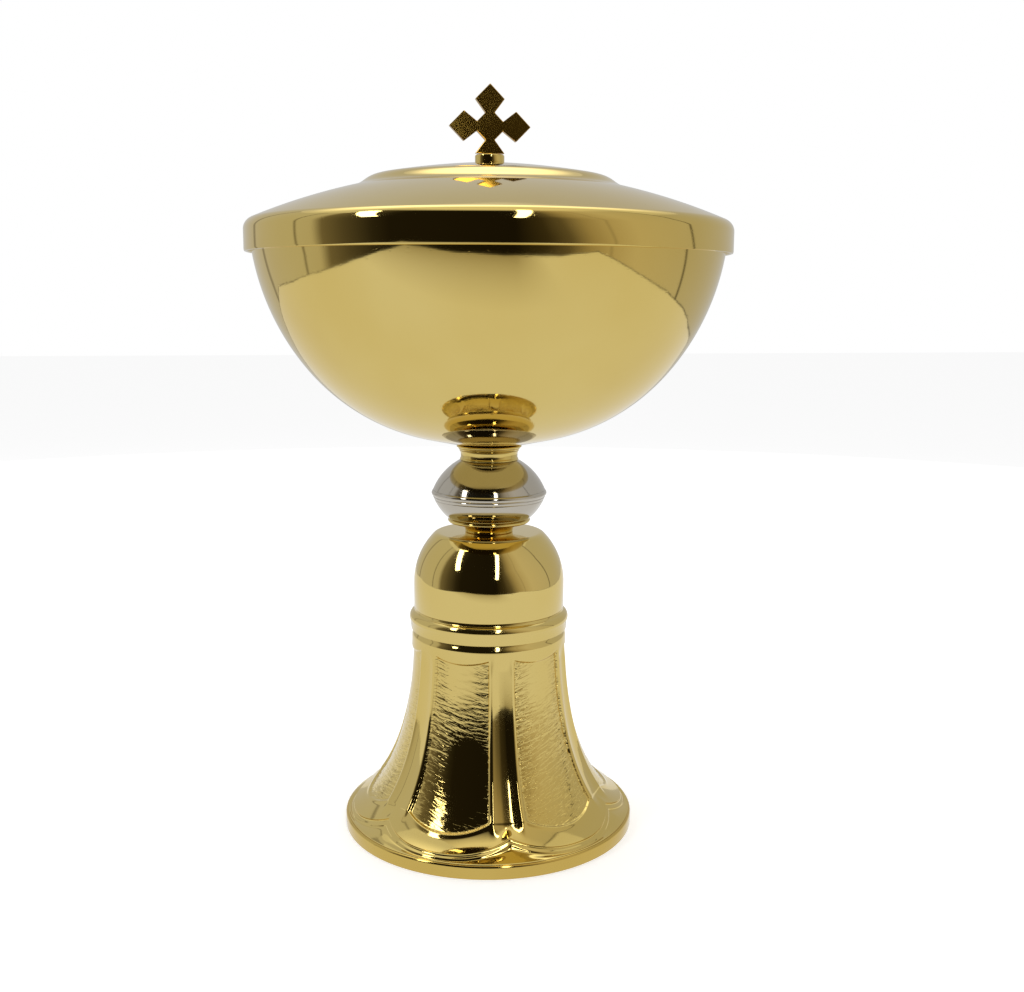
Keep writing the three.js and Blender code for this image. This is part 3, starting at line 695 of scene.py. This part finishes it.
white_metal = metal("polished_white_metal", linear(196, 190, 178), linear(182, 175, 160), haze=(0.05, 0.11),
                    lines=0.25, scratches=0.15)
knop_wall, knop_hole, ring_seat = 1, 4.95, 16.0
knop_foot_radius, knop_top_radius = 12.7, 8.75
seam_radius, knop_foot, lower_head = turned_size("knop_lower_shell")
groove_height, groove_width, groove_depth = lower_head - 0.75, 0.12, 0.16
lower_outer = [(r - groove_depth * math.exp(-((z - groove_height) / groove_width) ** 2), z)
               for r, z in swell((knop_foot_radius, knop_foot), (seam_radius, lower_head), 15, 28)]
lower_inner = swell((knop_foot_radius - 0.8, knop_foot + knop_wall), (ring_seat, lower_head - 0.2), 14, 8)
lower_shell = turned("knop_lower_shell_spun", [(knop_hole, knop_foot)] + lower_outer
                     + [(seam_radius - 0.1, lower_head + 0.2), (ring_seat, lower_head + 0.2),
                        (ring_seat, lower_head - 0.1)]
                     + lower_inner[::-1] + [(knop_hole, knop_foot + knop_wall)], segments=256)
lower_shell.data.materials.append(white_metal)
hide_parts("knop_lower_shell")
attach(lower_shell, "base")

upper_foot, knop_head = heights("knop_upper_shell")
ridge_foot, ridge_head = lower_head + 0.3, upper_foot - 0.3
tongue_bore, tongue_radius, tongue = 14.0, 15.2, 1.2
seam_ring = turned("knop_seam_ring_turned", [
    (tongue_bore, ridge_foot - tongue), (tongue_radius, ridge_foot - tongue),
    (tongue_radius, ridge_foot - 0.05), (seam_radius, ridge_foot - 0.05)]
    + swell((seam_radius + 0.02, ridge_foot), (seam_radius + 0.02, ridge_head), 1.03, 10)
    + [(seam_radius, ridge_head + 0.05), (tongue_radius, ridge_head + 0.05),
       (tongue_radius, ridge_head + tongue), (tongue_bore, ridge_head + tongue)], segments=256)
seam_ring.data.materials.append(white_metal)
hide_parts("knop_seam_ring")
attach(seam_ring, "base")

upper_outer = swell((seam_radius, upper_foot - 0.2), (knop_top_radius, knop_head), 18, 22)
upper_inner = swell((seam_radius - knop_wall, upper_foot), (knop_top_radius - 0.6, knop_head - knop_wall),
                    17, 10)
upper_shell = turned("knop_upper_shell_spun", upper_outer
                     + [(knop_hole, knop_head), (knop_hole, knop_head - knop_wall)] + upper_inner[::-1]
                     + [(seam_radius - knop_wall, upper_foot - 0.2)], segments=256)
upper_shell.data.materials.append(white_metal)
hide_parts("knop_upper_shell")
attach(upper_shell, "base")

tube_radius = 4.6
spacer = turned("knop_spacer_cut_tube", ring_section(
    rod_hole, tube_radius, knop_foot + 0.05, knop_head - 0.05, 0.1, 0.1, 0.1, 0.1, steps=2), segments=64)
spacer.data.materials.append(zinc_steel)
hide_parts("knop_spacer_tube")
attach(spacer, "base")

# Upper neck, saucer and boss
# The turned waist has a small bead at the knop and flares in fine steps, and a thin
# saucer lies on it under the cup's seat. Both slip over the boss, which is soldered to
# the cup and takes the rod's end.

boss_hole = 6.35
waist_foot = knop_head + 0.02
waist_bead = [(8.75, 0), (8.88, 0.1), (8.9, 0.3), (8.82, 0.5), (8.68, 0.7), (8.65, 0.95)]
waist_flare = [(8.65, 1.75), (8.7, 2.1), (8.84, 2.5), (9.02, 2.8), (8.93, 2.9), (8.98, 3.0),
               (9.14, 3.1), (9.32, 3.4), (9.22, 3.5), (9.22, 3.6)]
waist = turned("upper_neck_turned", [
    (r, waist_foot + rise) for r, rise in [(boss_hole, 0)] + waist_bead + waist_flare + [(boss_hole, 3.6)]],
    segments=256)
waist.data.materials.append(turned_gold)
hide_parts("upper_neck")
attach(waist, "base")

saucer_radius, saucer_foot, saucer_head = turned_size("bowl_saucer")
saucer = turned("bowl_saucer_turned", [
    (boss_hole, saucer_foot - 0.28), (9.25, saucer_foot - 0.28), (9.7, saucer_foot - 0.08),
    (saucer_radius - 0.03, saucer_foot + 0.1), (saucer_radius, saucer_foot + 0.25),
    (saucer_radius - 0.04, saucer_foot + 0.42), (9.7, saucer_head + 0.08), (9.2, saucer_head + 0.22),
    (boss_hole, saucer_head + 0.22)], segments=256)
saucer.data.materials.append(polished_gold)
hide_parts("bowl_saucer")
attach(saucer, "base")

boss_radius, boss_bore, bore_end, chamfer = 6.0, 3.05, saucer_head - 1.3, 0.3
boss_foot, boss_head = knop_head + 0.32, saucer_head + 0.25
boss = turned("bowl_boss_turned", [
    (0, bore_end), (boss_bore, bore_end), (boss_bore, boss_foot + chamfer), (boss_bore + chamfer, boss_foot),
    (boss_radius - chamfer, boss_foot), (boss_radius, boss_foot + chamfer), (boss_radius, boss_head),
    (0, boss_head)], closed=False, segments=96)
boss.data.materials.append(turned_gold)
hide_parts("bowl_boss")
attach(boss, "base")

# Cup
# Spun from one sheet of brass, gilded, and polished bright outside: a small flat seat,
# a shallow cone, then two arcs up to the rim. Inside it is gilded too.

bowl_foot, bowl_head = heights("bowl")
cup_wall, rim_radius = 1.2, 69.64
side_radius, floor_radius, blend, seat_radius, seat_slope = 69.8, 60, 50, 9.7, 12
floor_r = (side_radius - floor_radius) * math.sin(math.radians(blend))
cone_rise = (floor_r + floor_radius * math.sin(math.radians(seat_slope)) - seat_radius) \
    * math.tan(math.radians(seat_slope))
floor_centre = (floor_r, bowl_foot + cone_rise + floor_radius * math.cos(math.radians(seat_slope)))
bowl_centre = (0, floor_centre[1] + (side_radius - floor_radius) * math.cos(math.radians(blend)))
rim_angle = math.degrees(math.asin((bowl_head - bowl_centre[1]) / side_radius))
cup = turned("cup_spun", [(0, bowl_foot), (seat_radius - 0.3, bowl_foot),
                          (seat_radius + 0.3, bowl_foot + 0.05)]
             + arc(floor_centre, floor_radius, seat_slope - 90, blend - 90, 30)
             + arc(bowl_centre, side_radius, blend - 90, rim_angle - 0.4, 44)[1:]
             + [(rim_radius - 0.15, bowl_head), (rim_radius - 1.0, bowl_head)]
             + arc(bowl_centre, side_radius - cup_wall, rim_angle - 0.4, blend - 90, 44)
             + arc(floor_centre, floor_radius - cup_wall, blend - 90, seat_slope - 90, 30)[1:]
             + [(seat_radius, bowl_foot + cup_wall), (0, bowl_foot + cup_wall)], closed=False, segments=256)
cup.data.materials.append(polished_gold)
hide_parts("bowl")
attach(cup, "base")

# Locating ring of the lid
# A thin ring soldered under the lid that drops inside the cup's mouth and keeps the
# lid central.

collar_wall, outer_head = 1, 184.46
collar_radius, collar_foot, collar_head = turned_size("lid_locating_ring")
collar = turned("lid_locating_ring_turned", [
    (collar_radius - collar_wall, collar_foot + 0.2), (collar_radius - 0.8, collar_foot),
    (collar_radius - 0.2, collar_foot), (collar_radius, collar_foot + 0.2),
    (collar_radius, outer_head), (collar_radius - collar_wall, collar_head)], segments=256)
collar.data.materials.append(turned_gold)
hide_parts("lid_locating_ring")
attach(collar, "lid_collar")

# Lid
# A low dome spun from sheet, with a short skirt that hangs outside the cup's rim, a
# raised platform in the middle, nearly flat, and a hole for the finial's stud.

lid_radius, lid_foot, lid_head = turned_size("lid_shell")
lid_wall, lid_curve, lid_centre, stud_hole = 1.2, 176.7, 22.38, 2.35
skirt_head, shoulder_round, shoulder_radius, shoulder_height = 181.2, 3.5, 67.71, 181.8
step_radius, step_width, step_rise, platform_curve = 40.5, 7.5, 3.5, 300
ferrule_seat = 4.8
shoulder_angle = math.degrees(math.acos(shoulder_radius / (lid_curve - shoulder_round)))
step_angle = math.degrees(math.acos(step_radius / lid_curve))


def walled(outer, wall):
    """The closed outline of a sheet: its outer line, and a line one wall thickness inside it."""
    inner = []
    for i, (r, z) in enumerate(outer):
        ahead = outer[min(i + 1, len(outer) - 1)]
        behind = outer[max(i - 1, 0)]
        along = Vector((ahead[0] - behind[0], ahead[1] - behind[1])).normalized()
        inner.append((r - along.y * wall, z + along.x * wall))
    return outer + inner[::-1]


step_foot = (step_radius, lid_centre + math.sqrt(lid_curve ** 2 - step_radius ** 2))
platform_edge = (step_radius - step_width, step_foot[1] + step_rise)
pull = step_width / 2
slope = math.radians(90 - step_angle)
tilt = math.radians(9.2)
lid_line = ([(lid_radius, lid_foot + 0.6), (lid_radius, skirt_head)]
            + arc((shoulder_radius, shoulder_height), shoulder_round, 0, shoulder_angle, 16)
            + arc((0, lid_centre), lid_curve, shoulder_angle, step_angle, 40)[1:]
            + bezier(step_foot,
                     (step_foot[0] - pull * math.cos(slope), step_foot[1] + pull * math.sin(slope)),
                     (platform_edge[0] + pull * math.cos(tilt), platform_edge[1] - pull * math.sin(tilt)),
                     platform_edge, 16)[1:]
            + swell(platform_edge, (ferrule_seat, lid_head), platform_curve, 16)[1:]
            + [(stud_hole, lid_head)])
lid = turned("lid_spun", walled(lid_line, lid_wall)
             + [(lid_radius - 1.05, lid_foot + 0.15), (lid_radius - 0.6, lid_foot),
                (lid_radius - 0.15, lid_foot + 0.15)], segments=256)
lid.data.materials.append(polished_gold)
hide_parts("lid_shell")
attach(lid, "lid")

# Finial
# A flat cross cast in brass stands in a small turned ferrule. A stud with a washer
# and nut under the lid holds both.

ferrule_radius, ferrule_foot, ferrule_head, ferrule_round = 4.3, 201.56, 204.14, 0.5
ferrule = turned("finial_ferrule_turned", [
    (stud_hole, ferrule_foot), (ferrule_radius - 0.05, ferrule_foot), (ferrule_radius, ferrule_foot + 0.14),
    (ferrule_radius, ferrule_head - 0.74)]
    + arc((ferrule_radius - ferrule_round, ferrule_head - ferrule_round), ferrule_round, 0, 90, 6)
    + [(stud_hole, ferrule_head)], segments=128)
ferrule.data.materials.append(turned_gold)
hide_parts("finial_ferrule")
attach(ferrule, "lid")

cross_thickness = 2
cross_low, cross_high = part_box("finial_cross")
arm = (cross_high.x - cross_low.x) / 2 / MM
cross_middle = cross_high.z / MM - arm
half_cross = [(1.732, -8.9), (1.732, -7.7), (4.3, -7.7), (1.35, -3.85), (3.85, -1.35), (7.7, -4.3),
              (12, 0), (7.7, 4.3), (3.85, 1.35), (1.35, 3.85), (4.3, 7.7), (0, 12)]
cross_line = half_cross + [(-x, z) for x, z in half_cross[-2::-1]]
cross = drawn("finial_cross_cast", [(x, z + cross_middle) for x, z in cross_line])
bpy.ops.object.mode_set(mode="EDIT")
bpy.ops.mesh.select_all(action="SELECT")
bpy.ops.mesh.edge_face_add()
bpy.ops.transform.translate(value=(0, -cross_thickness / 2 * MM, 0))
bpy.ops.mesh.extrude_region_move(TRANSFORM_OT_translate={"value": (0, cross_thickness * MM, 0)})
bpy.ops.mesh.select_all(action="SELECT")
bpy.ops.mesh.normals_make_consistent(inside=False)
bpy.ops.object.mode_set(mode="OBJECT")
soften = cross.modifiers.new("soften", "BEVEL")
soften.width = 0.22 * MM
soften.segments = 3
soften.limit_method = "ANGLE"
soften.angle_limit = math.radians(20)
bpy.ops.object.modifier_apply(modifier=soften.name)
bpy.ops.object.shade_smooth_by_angle(angle=math.radians(10))
cast_gold = metal("cast_gold_plate", linear(194, 160, 74), linear(178, 142, 56), haze=(0.06, 0.10),
                  scratches=0.2)
cross.data.materials.append(cast_gold)
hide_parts("finial_cross")
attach(cross, "lid")

stud = threaded_rod("finial_stud_threaded", *heights("finial_stud"), radius=2.0, pitch=0.7)
stud.data.materials.append(zinc_steel)
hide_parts("finial_stud")
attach(stud, "lid")

washer_radius, washer_foot, washer_head = 4.4, 199.24, 200.06
finial_washer = turned("finial_washer_punched", ring_section(
    stud_hole, washer_radius, washer_foot, washer_head, 0.08, 0.08, 0.2, 0.15, steps=3), segments=64)
finial_washer.data.materials.append(zinc_steel)
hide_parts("finial_washer")
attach(finial_washer, "lid")

finial_nut = hex_nut("finial_nut_hexagon", *heights("finial_nut"), flats=7, bore=2.05)
finial_nut.data.materials.append(zinc_steel)
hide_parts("finial_nut")
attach(finial_nut, "lid")

# Studio
# A pale floor and pale walls with a dark front, under a bright ceiling with two long
# lamps, all plain and placed round the object. The gold mirrors the floor and the walls; the floor as
# mirrored carries a painted shadow at its front left and a painted line of shade along its edge.


def stage_material(name, strength=1.0):
    """A white emitter, its tree and its emission node."""
    made = bpy.data.materials.new(name)
    made.use_nodes = True
    tree = made.node_tree
    tree.nodes.remove(tree.nodes["Principled BSDF"])
    glow = put(tree, "Emission", {"Color": (1, 1, 1, 1), "Strength": strength})
    tree.links.new(glow.outputs[0], tree.nodes["Material Output"].inputs["Surface"])
    return made, tree, glow


def wall_light(tree):
    """The walls' level round the object, by direction: pale sides and back, a dark warm front."""
    axes = put(tree, "SeparateXYZ", {0: own_place(tree)}).outputs
    azimuth = maths(tree, "ARCTAN2", axes[0], maths(tree, "MULTIPLY", axes[1], -1.0))
    right = ranged(tree, azimuth, 0.0, 0.3)
    lean = maths(tree, "MULTIPLY", maths(tree, "MINIMUM", axes[2], 0.5), 0.4)
    turned_by = maths(tree, "ADD", azimuth, maths(tree, "MULTIPLY", right, lean))
    position = maths(tree, "ADD", maths(tree, "DIVIDE", turned_by, 2 * math.pi), 0.5)
    ramp = put(tree, "ValToRGB", {"Fac": position})
    # Azimuth in degrees, level and warmth; the four short dips are thin dark seams
    stops = [
        (-180, 0.60, 0), (-141.5, 0.62, 0), (-140, 0.10, 0.5), (-138.5, 0.64, 0), (-103.5, 0.64, 0),
        (-102.5, 0.16, 0.5), (-101.5, 0.62, 0), (-92, 0.60, 0.1), (-86, 0.20, 0.6), (-74, 0.10, 0.7),
        (-60, 0.03, 0.8), (-52, 0.016, 1), (2, 0.012, 1), (16, 0.05, 1), (26, 0.14, 0.8),
        (36, 0.42, 0.7), (45, 0.56, 0.5), (46, 0.36, 0.5), (47, 0.58, 0.5), (60, 0.68, 0.3),
        (93, 0.62, 0.15), (94.2, 0.10, 0.5), (95.5, 0.60, 0.1), (140, 0.58, 0), (180, 0.60, 0)]
    marks = ramp.color_ramp.elements
    while len(marks) < len(stops):
        marks.new(0.5)
    for mark, (degrees, level, warmth) in zip(marks, stops):
        mark.position = degrees / 360 + 0.5
        mark.color = (level, level * (1 - 0.2 * warmth), level * (1 - 0.55 * warmth), 1)
    return ramp.outputs[0], axes


floor_size = 6
ground_half_width, ground_half_depth, ground_shift = 0.52, 0.55, 0.06
# The second colour is the dark warm colour of a painted shadow on the floor as the metal mirrors it.
ground_white, painted_shadow_colour = (0.86, 0.86, 0.86, 1), (0.24, 0.19, 0.08, 1)
bpy.ops.object.select_all(action="DESELECT")
bpy.ops.mesh.primitive_plane_add(size=floor_size, location=(0, 0, 0))
floor = bpy.context.object
floor.name = "studio_floor"
floor_paint, tree, glow = stage_material("studio_floor_white")

# What the metal mirrors: the floor, with a painted shadow at its front left and a painted line of shade
# along its edge, and the walls
walls, axes = wall_light(tree)
side = maths(tree, "DIVIDE", maths(tree, "ABSOLUTE", maths(tree, "ADD", axes[0], ground_shift)),
             ground_half_width)
depth = maths(tree, "DIVIDE", maths(tree, "ABSOLUTE", axes[1]), ground_half_depth)
uneven = put(tree, "TexNoise", {"Vector": own_place(tree), "Scale": 5.0, "Detail": 4.0})
waver = maths(tree, "MULTIPLY", maths(tree, "SUBTRACT", uneven.outputs["Fac"], 0.5), 0.14)
reach = maths(tree, "ADD", maths(tree, "MAXIMUM", side, depth), waver)
beyond = ranged(tree, reach, 0.97, 1.03, interpolation_type="SMOOTHSTEP")
# Painted shade: the mirrored floor's glow dips to a thin dark line along its edge.
from_edge = maths(tree, "ABSOLUTE", maths(tree, "SUBTRACT", reach, 1.0))
edge_shade_line = ranged(tree, from_edge, 0.0, 0.022, 0.3, 1.0)
# Painted shadow: the mirrored floor darkens towards a warm dark colour at its front left.
ahead = ranged(tree, maths(tree, "MULTIPLY", axes[1], -1.0), 0.22, 0.60)
shadow_to_left = ranged(tree, axes[0], 0.14, 0.02)
painted_shadow = maths(tree, "MULTIPLY", maths(tree, "MULTIPLY", ahead, shadow_to_left), 0.8)
ground = mixed(tree, beyond, mixed(tree, painted_shadow, ground_white, painted_shadow_colour), walls)
image = put(tree, "Emission", {"Color": ground, "Strength": edge_shade_line})

# What the camera sees: plain white that keeps the object's faint shadow
paper_glow = 0.55
path = put(tree, "LightPath").outputs
mirrored = maths(tree, "MAXIMUM", path["Is Glossy Ray"], path["Is Transmission Ray"])
paper = put(tree, "BsdfDiffuse", {"Color": (0.8, 0.8, 0.8, 1)})
tree.links.new(maths(tree, "MULTIPLY", path["Is Camera Ray"], paper_glow), glow.inputs["Strength"])
direct = put(tree, "AddShader", {0: paper.outputs[0], 1: glow.outputs[0]})
both = put(tree, "MixShader", {0: mirrored, 1: direct.outputs[0], 2: image.outputs[0]})
tree.links.new(both.outputs[0], tree.nodes["Material Output"].inputs["Surface"])
floor.data.materials.append(floor_paint)

tent_radius, tent_top = 0.95, (1.0, 0.97, 0.9, 1)
bpy.ops.object.select_all(action="DESELECT")
bpy.ops.mesh.primitive_uv_sphere_add(segments=96, ring_count=48, radius=tent_radius)
tent = bpy.context.object
tent.name = "studio_walls"
bpy.ops.object.mode_set(mode="EDIT")
bpy.ops.mesh.select_all(action="SELECT")
bpy.ops.mesh.bisect(plane_co=(0, 0, 0.001), plane_no=(0, 0, 1), clear_inner=True)
bpy.ops.object.mode_set(mode="OBJECT")
tent_paint, tree, glow = stage_material("studio_wall_light")
walls, axes = wall_light(tree)
high_up = ranged(tree, axes[2], 0.835, 0.91)
tree.links.new(mixed(tree, high_up, walls, tent_top), glow.inputs["Color"])
tent.data.materials.append(tent_paint)
tent_paint.cycles.emission_sampling = "NONE"
tent.visible_camera = False

ceiling_middle, ceiling_edge = 2.6, 0.8
bpy.ops.object.select_all(action="DESELECT")
bpy.ops.mesh.primitive_plane_add(size=1, location=(0, 0.24, 0.70))
ceiling = bpy.context.object
ceiling.name = "studio_ceiling"
ceiling.scale = (1.15, 0.56, 1)
ceiling_paint, tree, glow = stage_material("studio_ceiling_light")
off_centre = put(tree, "VectorMath", {0: own_place(tree)}, operation="LENGTH").outputs["Value"]
fade = ranged(tree, off_centre, 0.5, 0.0, ceiling_edge, ceiling_middle, interpolation_type="SMOOTHSTEP")
tree.links.new(fade, glow.inputs["Strength"])
ceiling.data.materials.append(ceiling_paint)
ceiling.visible_camera = False


def strip_light(name, low_end, high_end, thickness):
    """A long tube lamp between two points given as azimuth, elevation and distance."""
    ends = []
    for azimuth_deg, elevation, distance in (low_end, high_end):
        a, e = math.radians(azimuth_deg), math.radians(elevation)
        ends.append(Vector((math.sin(a) * math.cos(e), -math.cos(a) * math.cos(e), math.sin(e))) * distance
                    + Vector((0, 0, 0.15)))
    span = ends[1] - ends[0]
    bpy.ops.object.select_all(action="DESELECT")
    bpy.ops.mesh.primitive_cylinder_add(vertices=24, radius=thickness, depth=span.length,
                                        location=(ends[0] + ends[1]) / 2,
                                        rotation=span.to_track_quat("Z", "Y").to_euler())
    tube = bpy.context.object
    tube.name = name
    tube.data.materials.append(stage_material(name + "_light", strength=6.0)[0])
    tube.visible_camera = False


strip_light("studio_strip_right", (3, 11, 0.75), (16, 66, 0.75), 0.03)
strip_light("studio_strip_left", (-62, 20, 0.75), (-82, 53, 0.75), 0.05)

world = bpy.data.worlds.new("studio_world")
bpy.context.scene.world = world
world.use_nodes = True
tree = world.node_tree
path = put(tree, "LightPath").outputs
mirrored = maths(tree, "MAXIMUM", path["Is Glossy Ray"], path["Is Transmission Ray"])
shown = maths(tree, "MAXIMUM", path["Is Camera Ray"], mirrored)
level = maths(tree, "ADD", maths(tree, "MULTIPLY", shown, 0.5), 0.5)
tree.links.new(level, tree.nodes["Background"].inputs["Strength"])
tree.nodes["Background"].inputs["Color"].default_value = (1, 1, 1, 1)

# Camera
# It stands in front of the object, a little to its left and above, and looks slightly
# down, as the photograph does.

lens = bpy.data.cameras.new("photo_camera")
lens.sensor_width = 36
lens.lens = 42.75
camera = bpy.data.objects.new("photo_camera", lens)
bpy.context.collection.objects.link(camera)
camera.matrix_world = (Matrix.Translation(Vector((-59.74, -362.33, 163.8)) * MM)
                       @ Matrix.Rotation(-0.18253, 4, "Z")
                       @ Matrix.Rotation(math.pi / 2 - 0.164, 4, "X")
                       @ Matrix.Rotation(0.005, 4, "Z"))
bpy.context.scene.camera = camera

scene = bpy.context.scene
scene.view_settings.view_transform = "Standard"
